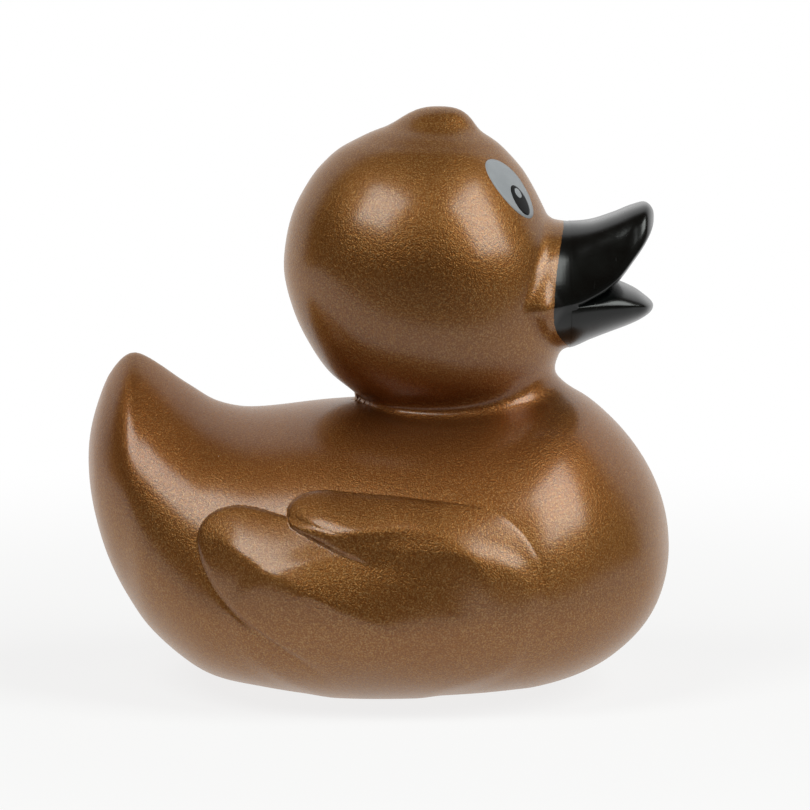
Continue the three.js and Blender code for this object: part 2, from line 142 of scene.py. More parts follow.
HEAD_HEIGHT, HEAD_LENGTH, HEAD_WIDTH = 42.4, 39.4, 38.8
HEAD_X, HEAD_SINK = 6.7, 5.6
HEAD_FOOT = BODY.read(np.array([HEAD_X]))[2][0] - HEAD_SINK
HEAD_TOP = HEAD_FOOT + HEAD_HEIGHT
HEAD_MIDDLE = (HEAD_FOOT + HEAD_TOP) / 2
HEAD = Form([
    (-1.0, 0.22, 0.22, 0.22, 0, 2.0), (-0.86, -0.38, 0.22, 0.755, 0.53, 2.0),
    (-0.78, -0.435, 0.2, 0.85, 0.61, 2.0), (-0.7, -0.535, 0.18, 0.9, 0.7, 2.0),
    (-0.575, -0.695, 0.13, 0.885, 0.81, 2.0),
    (-0.38, -0.838, 0.065, 0.955, 0.923, 2.0), (-0.19, -0.934, 0.025, 1.0, 0.98, 2.0),
    (0.045, -1.0, 0.005, 0.99, 1.0, 2.0), (0.235, -0.995, -0.005, 0.934, 0.98, 2.0),
    (0.445, -0.944, -0.015, 0.83, 0.902, 2.0), (0.61, -0.858, -0.02, 0.742, 0.794, 2.0),
    (0.76, -0.741, -0.02, 0.638, 0.65, 2.0), (0.91, -0.528, -0.015, 0.452, 0.423, 2.0),
    (1.0, -0.01, -0.01, -0.01, 0, 2.0),
], HEAD_FOOT, HEAD_TOP, HEAD_X, HEAD_LENGTH / 2, HEAD_WIDTH / 2)

HEAD_FRONT = HEAD_X + HEAD_LENGTH / 2
MOUTH_DROP = 2.1
BILL_INSIDE, BILL_OUTSIDE = 16.4, 11.4
BILL_HEIGHT, BILL_WIDTH = 20.4, 17.2
BILL_SPAN = (HEAD_FRONT - BILL_INSIDE, HEAD_FRONT + BILL_OUTSIDE, HEAD_MIDDLE - MOUTH_DROP,
             BILL_HEIGHT, BILL_WIDTH / 2)
UPPER_BILL = Form([
    (-1.0, 0.01, 0.01, 0.01, 0, 1.8), (-0.28, -0.1, -0.02, 0.525, 1.55, 1.8),
    (0.17, -0.08, 0, 0.51, 1.38, 2.7), (0.38, -0.01, 0.055, 0.52, 1.3, 3.4),
    (0.59, 0.085, 0.15, 0.564, 1.2, 3.6), (0.79, 0.255, 0.315, 0.618, 1.06, 3.6),
    (0.93, 0.4, 0.45, 0.637, 0.82, 3.4), (1.0, 0.56, 0.56, 0.56, 0, 3.4),
], *BILL_SPAN)
LOWER_BILL = Form([
    (-1.0, -0.09, -0.09, -0.09, 0, 2.0), (-0.28, -0.363, -0.04, 0.05, 1.52, 2.0),
    (0.17, -0.338, -0.035, 0.05, 1.34, 2.0), (0.38, -0.28, -0.03, 0.08, 1.24, 2.0),
    (0.59, -0.225, -0.03, 0.115, 1.12, 2.0), (0.79, -0.172, -0.035, 0.07, 0.96, 2.0),
    (0.93, -0.118, -0.045, 0.005, 0.72, 2.0), (1.0, -0.055, -0.055, -0.055, 0, 2.0),
], *BILL_SPAN)

REACH = 5.0


class Skin:
    """The outside of a closed mesh. It gives each point its distance, which is looked for up
    to REACH, and its way out."""

    def __init__(self, bm):
        self.tree = BVHTree.FromBMesh(bm)
        corners = places(bm)
        self.low, self.high = corners.min(axis=0) - REACH, corners.max(axis=0) + REACH

    def __call__(self, points):
        away = np.full(len(points), REACH)
        out = np.zeros((len(points), 3))
        near = np.flatnonzero(((points > self.low) & (points < self.high)).all(axis=1))
        found = [self.tree.find_nearest(point, REACH) for point in points[near].tolist()]
        hits = [k for k, hit in enumerate(found) if hit[0] is not None]
        if hits:
            spots = np.array([found[k][0] for k in hits])
            normals = np.array([found[k][1] for k in hits])
            gone = points[near[hits]] - spots
            inside = np.einsum("ij,ij->i", gone, normals) < 0
            distance = np.linalg.norm(gone, axis=1)
            away[near[hits]] = np.where(inside, -distance, distance)
            out[near[hits]] = normals
        return away, out


def egg(points, centre, radii):
    """The distance from an ellipsoid, near enough close to its surface."""
    from_centre = points - np.array(centre)
    scaled = np.linalg.norm(from_centre / radii, axis=1)
    slope = from_centre / np.square(radii)
    steep = np.linalg.norm(slope, axis=1)
    return scaled * (scaled - 1) / steep, slope / steep[:, None]


def join(a, b, width):
    """Two forms run together, with a hollow fillet of a width where they meet."""
    share = np.clip(0.5 + 0.5 * (b[0] - a[0]) / width, 0, 1)
    away = b[0] * (1 - share) + a[0] * share - width * share * (1 - share)
    return away, b[1] * (1 - share)[:, None] + a[1] * share[:, None]


def ramp(value, low, high):
    """0 below low and 1 above high, smooth between them."""
    u = np.clip((value - low) / (high - low), 0, 1)
    return u * u * (3 - 2 * u)


def rounded(corners, steps=5):
    """A closed smooth curve through the corners."""
    points = np.array(corners, float)
    before, after, beyond = (np.roll(points, -k, axis=0) for k in (-1, 1, 2))
    curve = []
    for u in np.arange(steps) / steps:
        curve.append(0.5 * (2 * points + (after - before) * u
                            + (2 * before - 5 * points + 4 * after - beyond) * u ** 2
                            + (3 * points - before - 3 * after + beyond) * u ** 3))
    return np.stack(curve, axis=1).reshape(-1, 2)


def depth_in(outline, x, z):
    """How deep each point lies in a closed outline, negative outside it."""
    point = np.stack((x, z), axis=1)
    nearest = np.full(len(point), 1e9)
    inside = np.zeros(len(point), bool)
    for a, b in zip(outline, np.roll(outline, -1, axis=0)):
        edge = b - a
        share = np.clip((point - a) @ edge / (edge @ edge), 0, 1)
        nearest = np.minimum(nearest, np.linalg.norm(point - a - share[:, None] * edge, axis=1))
        crosses = (a[1] > z) != (b[1] > z)
        level = (z - a[1]) / np.where(edge[1] == 0, 1e-9, edge[1])
        inside ^= crosses & (x < a[0] + level * edge[0])
    return np.where(inside, nearest, -nearest)


# The wing's three layers in side view: the flank pad, the rear feather on it, and the upper
# feather over both, down to the crease. Each is a pillow that rises over its own width.
FLANK = rounded([
    (-20.6, 16), (-20.1, 10.8), (-18.9, 7.7), (-16.8, 5.6), (-13.9, 3.3), (-11.2, 1.4),
    (-4, -3), (4, -3), (9.4, 1.0), (14.1, 3.0), (17.8, 5.2), (20.4, 8.7), (22.1, 15.6),
    (21.0, 20.0), (15, 24), (0, 25), (-14, 22),
])
REAR_FEATHER = rounded([
    (-12.6, 9.8), (-14.5, 11.0), (-17.3, 13.1), (-19.8, 15.3), (-21.8, 17.6), (-23.5, 20.9),
    (-24.0, 23.9), (-23.1, 26.0), (-21.4, 27.2), (-19.2, 27.8), (-16.5, 27.7), (-12.8, 26.9),
    (-5, 25), (6, 22), (14, 14), (8, 2), (-4, 2), (-8, 6.5),
])
UPPER_FEATHER = rounded([
    (-11.9, 26.4), (-10.2, 22), (-4, 10), (4, 2), (12, -4), (22, -4), (24, 4), (23.2, 12),
    (22.3, 16.5), (21.5, 20.4), (20.9, 22.2), (19.3, 24.7), (17.2, 26.6), (14.7, 27.9),
    (11.9, 28.6), (7.3, 29.1), (1.7, 29.6), (-3.8, 29.9), (-7.3, 30.1), (-9.8, 29.6),
    (-11.6, 28.4),
])
OVER_CREASE = rounded([
    (-13.5, 28.5), (-12.2, 26.6), (-11.5, 25.7), (-9.9, 24.8), (-7.2, 23.5), (-4.6, 22.4),
    (-1.8, 21.4), (3, 19.8), (8, 17), (13, 12), (17, 5), (20, -4), (30, -4), (30, 36),
    (0, 36), (-13.5, 36),
])
FLANK_RISE, REAR_RISE, UPPER_RISE = 0.3, 2.3, 2.2
WING_STARTS, WING_FULL, WING_TOP = 9, 15, 33


def pillow(depth, width, crisp):
    """The share of its rise that a pillow has at a depth in from its edge."""
    u = np.clip(depth / width, 0, 1)
    return ramp(u, 0, 1) * (1 - crisp) + np.sqrt(1 - (1 - u) ** 2) * crisp


FLANK_WIDTH, FLANK_CRISP = 2.4, 0.1
REAR_WIDTH, REAR_SPREAD, REAR_CRISP = 9, 4, 0.45
GROOVE_DEPTH, GROOVE_WIDTH, GROOVE_PLACE = 0.05, 0.4, 0.6
UPPER_WIDTH, UPPER_SPREAD, LOW_SPREAD, FRONT_SPREAD, UPPER_CRISP = 4.5, 4.5, 4, 4, 0.5
CREASE_WIDTH, CREASE_SPREAD, CREASE_CRISP, CREASE_ROUND = 2.4, 10, 0.8, 0.2


def rear_feather(x, z):
    """Crisp at its tip, with a fine groove along its lower edge. It spreads out and sinks
    into the flank to the front and to the bottom."""
    depth = depth_in(REAR_FEATHER, x, z)
    low_end = ramp(x, -16, 0)
    rise = pillow(depth, REAR_WIDTH + REAR_SPREAD * low_end, REAR_CRISP * (1 - low_end))
    groove = GROOVE_DEPTH * np.exp(-np.square(depth / GROOVE_WIDTH + GROOVE_PLACE))
    rise = rise - groove * (1 - ramp(z, 20, 25))
    return rise * (1 - ramp(x, -10, 8)) * ramp(z, 2, 9)


def upper_feather(x, z):
    """Crisp at its top and soft at its front and foot, cut off behind by the crease, which
    is crisp where the feather's tip overlaps the rear one and fades out to the front."""
    low_front, front = ramp(22 - z, 0, 8), ramp(x, 5, 15)
    width = UPPER_WIDTH + UPPER_SPREAD * ramp(x, -9, 4)
    width = width + LOW_SPREAD * low_front + FRONT_SPREAD * front
    crisp = UPPER_CRISP * (1 - low_front) * (1 - 0.6 * front)
    upper = pillow(depth_in(UPPER_FEATHER, x, z), width, crisp)
    upper = upper * (1 - 0.35 * ramp(26 - z, 0, 9))
    width = CREASE_WIDTH + CREASE_SPREAD * ramp(x, -8, 8)
    crisp = CREASE_CRISP * (1 - ramp(x, -7, 2))
    over = pillow(depth_in(OVER_CREASE, x, z), width, crisp)
    close = np.clip(0.5 + 2.5 * (over - upper), 0, 1)
    lesser = over * (1 - close) + upper * close - CREASE_ROUND * close * (1 - close)
    return np.maximum(lesser, 0) * (1 - 0.3 * ramp(-x, 2, 10))


def wing(points):
    """How far the wing's layers stand out from the hull at each point, on either side."""
    rise = np.zeros(len(points))
    outer = (np.abs(points[:, 1]) > WING_STARTS) & (points[:, 2] < WING_TOP)
    x, y, z = points[outer].T
    flank = pillow(depth_in(FLANK, x, z), FLANK_WIDTH, FLANK_CRISP)
    layers = FLANK_RISE * flank + REAR_RISE * rear_feather(x, z)
    layers = layers + UPPER_RISE * upper_feather(x, z)
    rise[outer] = layers * ramp(np.abs(y), WING_STARTS, WING_FULL)
    return rise


body_skin = Skin(lofted(BODY, 320, 220))
head_skin = Skin(lofted(HEAD, 240, 180, upright=True))
bill_skins = [Skin(lofted(form, 120, 90)) for form in (UPPER_BILL, LOWER_BILL)]
CREST = [
    ((HEAD_X, 0, HEAD_TOP - 4.1), (9.2, 7.4, 4.8)),
    ((HEAD_X + 0.9, 0, HEAD_TOP - 1.6), (5.3, 4.6, 4.5)),
    ((HEAD_X + 3.6, 0, HEAD_TOP + 0.2), (1.9, 2.1, 1.8)),
]
STUB_DEPTH, STUB_END, STUB_ROUND = 0.04, 27.2, 0.3
CREST_FILLET, BILL_FILLET, FOOT_ROUND = 2.2, 0.9, 0.5
MOUTH_FILLET, MOUTH_WIDER = 0.8, 3
NECK_FILLET, SIDES_WIDER, THROAT_WIDER = 0.9, 2.2, 0.3


def casting(points):
    """The distance of each point from the outside of the casting, and its way out."""
    hull_away, hull_out = body_skin(points)
    form = (hull_away - wing(points), hull_out)
    top = head_skin(points)
    for centre, radii in CREST:
        top = join(top, egg(points, centre, radii), CREST_FILLET)
    upper, lower = (bill_skin(points) for bill_skin in bill_skins)
    stub = join(upper, lower, MOUTH_FILLET + MOUTH_WIDER * (1 - ramp(points[:, 0], 22.5, 25.5)))
    cut = (STUB_END - points[:, 0], np.tile((-1.0, 0, 0), (len(points), 1)))
    stub = join((-(stub[0] + STUB_DEPTH), -stub[1]), cut, STUB_ROUND)
    top = join(top, (-stub[0], -stub[1]), BILL_FILLET)
    neck = NECK_FILLET + SIDES_WIDER * ramp(points[:, 0], -3, 3)
    neck = neck + THROAT_WIDER * ramp(points[:, 0], 8, 24)
    form = join(form, top, neck)
    floor = (points[:, 2], np.tile((0, 0, 1.0), (len(points), 1)))
    inside = join((-form[0], -form[1]), floor, FOOT_ROUND)
    return -inside[0], -inside[1]


LONGEST_STEP, LEAST_STEEP = 0.8, 0.5


def settle(bm, rounds):
    """Moves every vertex onto the casting's outside."""
    for _ in range(rounds):
        points = places(bm)
        away, out = casting(points)
        steep = np.maximum((out ** 2).sum(axis=1), LEAST_STEEP)
        step = np.clip(away, -LONGEST_STEP, LONGEST_STEP) / steep
        move_to(bm, points - out * step[:, None])


def evaluated(bm, name, add_modifiers):
    """The mesh that a bmesh becomes under modifiers, as a new bmesh."""
    mesh = bpy.data.meshes.new(name)
    bm.to_mesh(mesh)
    shape = bpy.data.objects.new(name, mesh)
    bpy.context.scene.collection.objects.link(shape)
    add_modifiers(shape)
    bpy.context.view_layer.update()
    result = bmesh.new()
    graph = bpy.context.evaluated_depsgraph_get()
    result.from_mesh(shape.evaluated_get(graph).data)
    bpy.data.objects.remove(shape)
    bpy.data.meshes.remove(mesh)
    return result


def merged(parts):
    whole = bmesh.new()
    for part in parts:
        mesh = bpy.data.meshes.new("part")
        part.to_mesh(mesh)
        whole.from_mesh(mesh)
        bpy.data.meshes.remove(mesh)
    return whole


def ball(centre, radii):
    bm = bmesh.new()
    bmesh.ops.create_uvsphere(bm, u_segments=40, v_segments=24, radius=1)
    bmesh.ops.scale(bm, vec=radii, verts=bm.verts)
    bmesh.ops.translate(bm, vec=centre, verts=bm.verts)
    return bm


def cut_off(bm, x, **cleared):
    """Cuts a form across at x, clears one side and closes the cut."""
    bmesh.ops.bisect_plane(bm, geom=bm.verts[:] + bm.edges[:] + bm.faces[:],
                           plane_co=(x, 0, 0), plane_no=(1, 0, 0), **cleared)
    bmesh.ops.holes_fill(bm, edges=[e for e in bm.edges if e.is_boundary], sides=0)


VOXEL = 0.68


def remeshed(shape):
    remesh = shape.modifiers.new("skin", "REMESH")
    remesh.mode, remesh.voxel_size = "VOXEL", VOXEL


stub_forms = [lofted(form, 90, 70) for form in (UPPER_BILL, LOWER_BILL)]
for stub in stub_forms:
    cut_off(stub, STUB_END - 0.2, clear_outer=True)
rough = merged([lofted(BODY, 160, 110), lofted(HEAD, 120, 90, upright=True)]
               + [ball(*tuft) for tuft in CREST] + stub_forms)
skin = evaluated(rough, "rough", remeshed)
settle(skin, 3)

# Finer faces where the feathers, the neck and the bill's root are creased
WING_FOOT, WING_FRONT, NECK_FRONT = 8, 24, 17
ROOT_BACK, ROOT_FRONT, ROOT_LOW, ROOT_HIGH = 19, 27.5, 45, 67
for reach in (1.7, 0.7):
    points = places(skin)
    x, z = points[:, 0], points[:, 2]
    edge = np.min([np.abs(depth_in(outline, x, z))
                   for outline in (REAR_FEATHER, UPPER_FEATHER, OVER_CREASE)], axis=0)
    outer = (np.abs(points[:, 1]) > WING_FULL) & (x < WING_FRONT)
    outer &= (z > WING_FOOT) & (z < WING_TOP)
    crease = np.abs(body_skin(points)[0] - head_skin(points)[0]) < reach
    root = (x > ROOT_BACK) & (x < ROOT_FRONT) & (z > ROOT_LOW) & (z < ROOT_HIGH)
    near = ((edge < reach) & outer) | (crease & (x < NECK_FRONT)) | root
    creased = [f for f in skin.faces if all(near[v.index] for v in f.verts)]
    edges = list(dict.fromkeys(e for f in creased for e in f.edges))
    bmesh.ops.subdivide_edges(skin, edges=edges, cuts=1, use_grid_fill=True)
    bmesh.ops.triangulate(skin, faces=[f for f in skin.faces if len(f.verts) > 4])
    skin.verts.index_update()
    settle(skin, 1)
bmesh.ops.smooth_vert(skin, verts=skin.verts, factor=0.3, use_axis_x=True, use_axis_y=True,
                      use_axis_z=True)
settle(skin, 2)

# The squeaker's seat and bore in the base
SQUEAKER_X = 7.5
BORE_RADIUS, BORE_DEPTH = 4.1, 14.6
SEAT_RADIUS, SEAT_DEPTH = 5.95, 1.4


def turned(profile, steps):
    """A profile of (radius, height) spun about the squeaker's upright axis."""
    bm = bmesh.new()
    rim = [bm.verts.new((SQUEAKER_X + radius, 0, height)) for radius, height in profile]
    edges = [bm.edges.new(pair) for pair in zip(rim, rim[1:])]
    bmesh.ops.spin(bm, geom=rim + edges, cent=(SQUEAKER_X, 0, 0), axis=(0, 0, 1),
                   angle=2 * math.pi, steps=steps, use_merge=True)
    bmesh.ops.remove_doubles(bm, verts=bm.verts, dist=1e-4)
    bmesh.ops.recalc_face_normals(bm, faces=bm.faces)
    return bm


bore_mesh = bpy.data.meshes.new("bore")
turned([(0, -1), (SEAT_RADIUS, -1), (SEAT_RADIUS, SEAT_DEPTH), (BORE_RADIUS, SEAT_DEPTH),
        (BORE_RADIUS, BORE_DEPTH), (0, BORE_DEPTH)], 96).to_mesh(bore_mesh)
bore = bpy.data.objects.new("bore", bore_mesh)
bpy.context.scene.collection.objects.link(bore)


def bored(shape):
    cut = shape.modifiers.new("bore", "BOOLEAN")
    cut.operation, cut.solver, cut.object = "DIFFERENCE", "EXACT", bore


skin = evaluated(skin, "bored", bored)
bpy.data.objects.remove(bore)
move_to(skin, np.clip(places(skin), np.array(cad_low) / MM, np.array(cad_high) / MM))


class Wire:
    """A socket of a material's node tree, on which Python's own operators work."""

    def __init__(self, tree, socket=None):
        self.tree, self.socket = tree, socket

    def node(self, kind, settings=None, inputs=None, output=0):
        made = self.tree.nodes.new(kind)
        for name, value in (settings or {}).items():
            setattr(made, name, value)
        for name, value in (inputs or {}).items():
            if isinstance(value, Wire):
                self.tree.links.new(value.socket, made.inputs[name])
            else:
                made.inputs[name].default_value = value
        return Wire(self.tree, made.outputs[output])

    def maths(self, operation, first, second):
        settings = {"operation": operation}
        return self.node("ShaderNodeMath", settings, {0: first, 1: second})

    def __add__(self, other):
        return self.maths("ADD", self, other)

    def __sub__(self, other):
        return self.maths("SUBTRACT", self, other)

    def __rsub__(self, other):
        return self.maths("SUBTRACT", other, self)

    def __mul__(self, other):
        return self.maths("MULTIPLY", self, other)

    def __lt__(self, other):
        return self.maths("LESS_THAN", self, other)

    def __gt__(self, other):
        return self.maths("GREATER_THAN", self, other)

    __radd__ = __add__
    __rmul__ = __mul__

    def between(self, low, high):
        """0 below low and 1 above high, smooth between them."""
        settings = {"interpolation_type": "SMOOTHSTEP"}
        inputs = {"Value": self, "From Min": low, "From Max": high}
        return self.node("ShaderNodeMapRange", settings, inputs)

    def noise(self, size, detail, roughness):
        """Soft noise whose patches are about as large as size, in metres."""
        inputs = {"Vector": self, "Scale": 1 / size, "Detail": detail, "Roughness": roughness}
        return self.node("ShaderNodeTexNoise", None, inputs)

    def specks(self, spacing, radius, share):
        """Round specks of a radius, in one of so many cells of a spacing, in metres."""
        inputs = {"Vector": self, "Scale": 1 / spacing}
        away = self.node("ShaderNodeTexVoronoi", None, inputs, "Distance")
        colour = self.node("ShaderNodeTexVoronoi", None, inputs, "Color")
        pick = self.node("ShaderNodeSeparateColor", None, {"Color": colour}, "Red")
        return (away < radius / spacing) * (pick < share)


def mixed(share, first, second):
    """One colour run into another by a share."""
    ends = [c if isinstance(c, Wire) else (*c, 1) for c in (first, second)]
    return share.node("ShaderNodeMix", {"data_type": "RGBA"}, {0: share, 6: ends[0], 7: ends[1]}, 2)


def finish_of(name, constants):
    """A new finish, with the constants set on its shader. Gives it, its shader and places."""
    finish = bpy.data.materials.new(name)
    finish.use_nodes = True
    shader = finish.node_tree.nodes["Principled BSDF"]
    for socket, value in constants.items():
        shader.inputs[socket].default_value = value
    start = Wire(finish.node_tree)
    return finish, shader, start.node("ShaderNodeTexCoord", output="Object")


def drive(shader, **wires):
    """Links wires to the shader's sockets, named with underscores for spaces."""
    for name, wire in wires.items():
        wire.tree.links.new(wire.socket, shader.inputs[name.replace("_", " ")])


def bumped(height, strength, distance):
    inputs = {"Height": height, "Strength": strength, "Distance": distance}
    return height.node("ShaderNodeBump", None, inputs, "Normal")


BRONZE, DEEP_BRONZE, PALE_BRONZE = (0.30, 0.150, 0.045), (0.20, 0.072, 0.015), (0.46, 0.33, 0.18)
# A darker, redder bronze, used only as painted shade on the upper body
PAINTED_SHADE_BRONZE = (0.21, 0.056, 0.012)
BARE_VINYL, DUST = (0.0027, 0.0037, 0.0033), (0.55, 0.50, 0.44)
PAINT_LINE_X, PAINT_LINE_Z, RAGGED = 0.0237, 0.052, 0.00032
CURVE_ABOVE, CURVE_BELOW = 11, 115

bronze, shader, place = finish_of("bronze_lacquer", {
    "IOR": 1.5, "Specular Tint": (0.86, 0.62, 0.38, 1), "Coat Roughness": 0.22, "Coat IOR": 1.55,
})
across = place.node("ShaderNodeSeparateXYZ", None, {"Vector": place}, "X")
level = place.node("ShaderNodeSeparateXYZ", None, {"Vector": place}, "Z") - PAINT_LINE_Z
edge = across - level * level * ((level > 0) * CURVE_ABOVE + (level < 0) * CURVE_BELOW)
edge = edge + (place.noise(0.0005, 2.0, 0.6) - 0.5) * RAGGED
bare = edge > PAINT_LINE_X

# The lacquer, dark between its flakes, with painted shade in a redder band round the upper body,
# pinholes that show the vinyl, and settled dust
FLAKE_SIZE, GRAIN_SIZE, CLOUD_SIZE = 0.00022, 0.00045, 0.012
flake = place.noise(FLAKE_SIZE, 1.0, 0.6)
grain = place.noise(GRAIN_SIZE, 2.0, 0.6)
cloud = place.noise(CLOUD_SIZE, 3.0, 0.5)
colour = mixed(flake.between(0.40, 0.66), DEEP_BRONZE, BRONZE)
colour = mixed(flake.between(0.60, 0.72) * 0.2, colour, PALE_BRONZE)
colour = mixed(cloud.between(0.35, 0.75) * 0.22, colour, DEEP_BRONZE)
pinholes = place.specks(spacing=0.0024, radius=0.00009, share=0.10)
dust = place.specks(spacing=0.0031, radius=0.00007, share=0.06)
# Painted shade: a darker, redder bronze mixed in round the whole body from about 22 to 48 mm up,
# where the lacquer would reflect a dark room
painted_shade_band = level.between(-0.030, -0.016) * (1 - level.between(-0.010, -0.004))
colour = mixed(painted_shade_band * 0.35, colour, PAINTED_SHADE_BRONZE)
colour = mixed(pinholes, colour, BARE_VINYL)
colour = mixed(dust, colour, DUST)
drive(
    shader,
    Base_Color=colour,
    Metallic=(1 - pinholes) * (1 - dust) * (0.86 + 0.12 * flake),
    Roughness=0.37 + 0.10 * grain + 0.05 * cloud,
    Coat_Weight=0.46 + 0.42 * grain,
    Normal=bumped(flake * 0.7 + grain * 0.6, 1.0, 0.00012),
)

# The bare vinyl beyond the paint line
vinyl = place.node("ShaderNodeBsdfPrincipled", None, {
    "Base Color": (*BARE_VINYL, 1), "Roughness": 0.23, "Specular IOR Level": 0.4,
})
tree = bronze.node_tree
lacquer = Wire(tree, shader.outputs["BSDF"])
both = place.node("ShaderNodeMixShader", None, {0: bare, 1: lacquer, 2: vinyl})
tree.links.new(both.socket, tree.nodes["Material Output"].inputs["Surface"])


def piece_of(name, bm, finish, body="duck", nodes=()):
    """A finished piece from a bmesh in millimetres: smooth, in place, and on its body."""
    bmesh.ops.scale(bm, vec=(MM, MM, MM), verts=bm.verts)
    mesh = bpy.data.meshes.new(name)
    bm.to_mesh(mesh)
    bm.free()
    mesh.shade_smooth()
    mesh.materials.append(finish)
    made = bpy.data.objects.new(name, mesh)
    bpy.context.scene.collection.objects.link(made)
    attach(made, body)
    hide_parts(*nodes)


casting_skin = skin.copy()
piece_of("vinyl_casting", skin, bronze, nodes=["duck_shell"])


# The bill
# The bill is part of the same casting on the real duck, masked off when the bronze was
# sprayed and left gloss black, so the lacquer ends in a slightly ragged line at its root.

BLACK, WORN_BLACK = (0.0020, 0.0028, 0.0025), (0.0035, 0.0048, 0.0042)
MARK, SCRATCH = (0.24, 0.25, 0.24), (0.05, 0.055, 0.05)

black, shader, place = finish_of("black_gloss_vinyl", {
    "IOR": 1.5, "Specular IOR Level": 0.4,
})
smear = place.noise(0.004, 3.0, 0.6)
fine = place.noise(0.0003, 2.0, 0.6)
marks = place.specks(spacing=0.0028, radius=0.00010, share=0.16)
stretched = place.node("ShaderNodeMapping", None, {"Vector": place, "Scale": (1, 1, 0.16)})
scratch = stretched.noise(0.0006, 1.0, 0.4).between(0.74, 0.77)
colour = mixed(smear.between(0.35, 0.7), BLACK, WORN_BLACK)
colour = mixed(marks, colour, MARK)
colour = mixed(scratch * 0.12, colour, SCRATCH)
drive(
    shader,
    Base_Color=colour,
    Roughness=0.16 + 0.14 * smear + 0.35 * marks + 0.15 * scratch,
    Normal=bumped(fine * 0.5 + smear, 0.12, 0.0001),
)


HIDDEN_ROOT = 26.2


def bill_half(form):
    """A half of the bill, closed at its root inside the casting."""
    bm = lofted(form, 220, 150)
    cut_off(bm, HIDDEN_ROOT, clear_inner=True)
    bmesh.ops.recalc_face_normals(bm, faces=bm.faces)
    return bm


piece_of("bill_upper_half", bill_half(UPPER_BILL), black,
         nodes=["upper_beak"])
piece_of("bill_lower_half", bill_half(LOWER_BILL), black,
         nodes=["lower_beak"])


# The printed eyes
# Each eye is three pad prints on the head: a pale grey-white oval, a black pupil and a small
# white glint. The ink lies a few hundredths of a millimetre proud of the lacquer.

EYE_X, EYE_Z = HEAD_X + 11.4, HEAD_MIDDLE + 13.2
PRINTS = {
    "eye_white": dict(tall=9.8, wide=6.5, lean=17, rise=0.45, back=-0.4, proud=0.03, ink="white"),
    "pupil": dict(tall=4.6, wide=3.0, lean=7, rise=-1.6, back=-0.85, proud=0.05, ink="black"),
    "glint": dict(tall=1.5, wide=1.3, lean=0, rise=-0.55, back=-1.0, proud=0.07, ink="white"),
}


def ink(name, shine, colour, shade, dots):
    finish, shader, place = finish_of(name, {"IOR": 1.5, "Specular IOR Level": shine})
    weave = place.noise(0.00012, 2.0, 0.6)
    patch = place.noise(0.0022, 2.0, 0.5)
    speck = place.specks(spacing=0.0012, radius=0.00005, share=0.10)
    tone = mixed(weave.between(0.3, 0.7) * 0.5 + patch.between(0.3, 0.7) * 0.5, shade, colour)
    drive(
        shader,
        Base_Color=mixed(speck, tone, dots),
        Roughness=0.32 + 0.12 * weave,
        Normal=bumped(weave, 0.2, 0.00003),
    )
    return finish


INKS = {
    "white": ink("white_print", 0.3, colour=(0.36, 0.38, 0.405), shade=(0.30, 0.32, 0.345),
                 dots=(0.2, 0.19, 0.18)),
    "black": ink("black_print", 0.1, colour=(0.006, 0.0065, 0.007),
                 shade=(0.004, 0.0045, 0.005), dots=(0.1, 0.1, 0.1)),
}
head_tree = BVHTree.FromBMesh(casting_skin)
FAR_SIDE, PROBE = 60, 1.5


def eye_frame(side):
    """The eye's centre on the head, with its outward, upright and rearward directions."""
    inward = (0, -side, 0)
    centre = head_tree.ray_cast((EYE_X, side * FAR_SIDE, EYE_Z), inward)[0]
    outward = Vector()
    for dx in (-PROBE, 0, PROBE):
        for dz in (-PROBE, 0, PROBE):
            start = (EYE_X + dx, side * FAR_SIDE, EYE_Z + dz)
            outward += head_tree.ray_cast(start, inward)[1]
    outward.normalize()
    tall = (Vector((0, 0, 1)) - outward * outward.z).normalized()
    rearward = outward.cross(tall) * (1 if side < 0 else -1)
    return centre, outward, tall, rearward


INK_DEPTH, CLEAR_OF_HEAD = 0.3, 8
RIM_STEPS, RINGS, RING_WIDTH = 96, 6, 0.07


def printed(side, tall, wide, lean, rise, back, proud):
    """An oval of ink laid on the head, with its own small thickness."""
    centre, outward, up, rearward = eye_frame(side)
    bm = bmesh.new()
    bmesh.ops.create_circle(bm, cap_ends=True, segments=RIM_STEPS, radius=0.5)
    for _ in range(RINGS):
        middle = [f for f in bm.faces if len(f.verts) == RIM_STEPS]
        bmesh.ops.inset_individual(bm, faces=middle, thickness=RING_WIDTH)
    bmesh.ops.poke(bm, faces=[f for f in bm.faces if len(f.verts) == RIM_STEPS])
    bmesh.ops.scale(bm, vec=(wide, tall, 1), verts=bm.verts)
    turn = Matrix.Rotation(-math.radians(lean), 3, "Z")
    bmesh.ops.rotate(bm, matrix=turn, verts=bm.verts)
    for vertex in bm.verts:
        start = centre + up * (rise + vertex.co.y) + rearward * (back + vertex.co.x)
        hit = head_tree.ray_cast(start + outward * CLEAR_OF_HEAD, -outward)[0]
        vertex.co = hit + outward * proud
    lower = bmesh.ops.extrude_face_region(bm, geom=bm.faces[:])["geom"]
    bmesh.ops.translate(bm, vec=-outward * INK_DEPTH,
                        verts=[g for g in lower if isinstance(g, bmesh.types.BMVert)])
    bmesh.ops.recalc_face_normals(bm, faces=bm.faces)
    return bm


for side, word in ((-1, "right"), (1, "left")):
    for name, print_of in PRINTS.items():
        layout = {key: value for key, value in print_of.items() if key != "ink"}
        piece_of(f"{word}_{name}_print", printed(side, **layout), INKS[print_of["ink"]],
                 nodes=[f"{word}_{name}"])


# The squeaker
# A small moulded cup is pressed into a hole in the base and snaps in with a barb. Its cap and
# reed block press in from above, and a thin film reed clamped in the block sounds in the air.

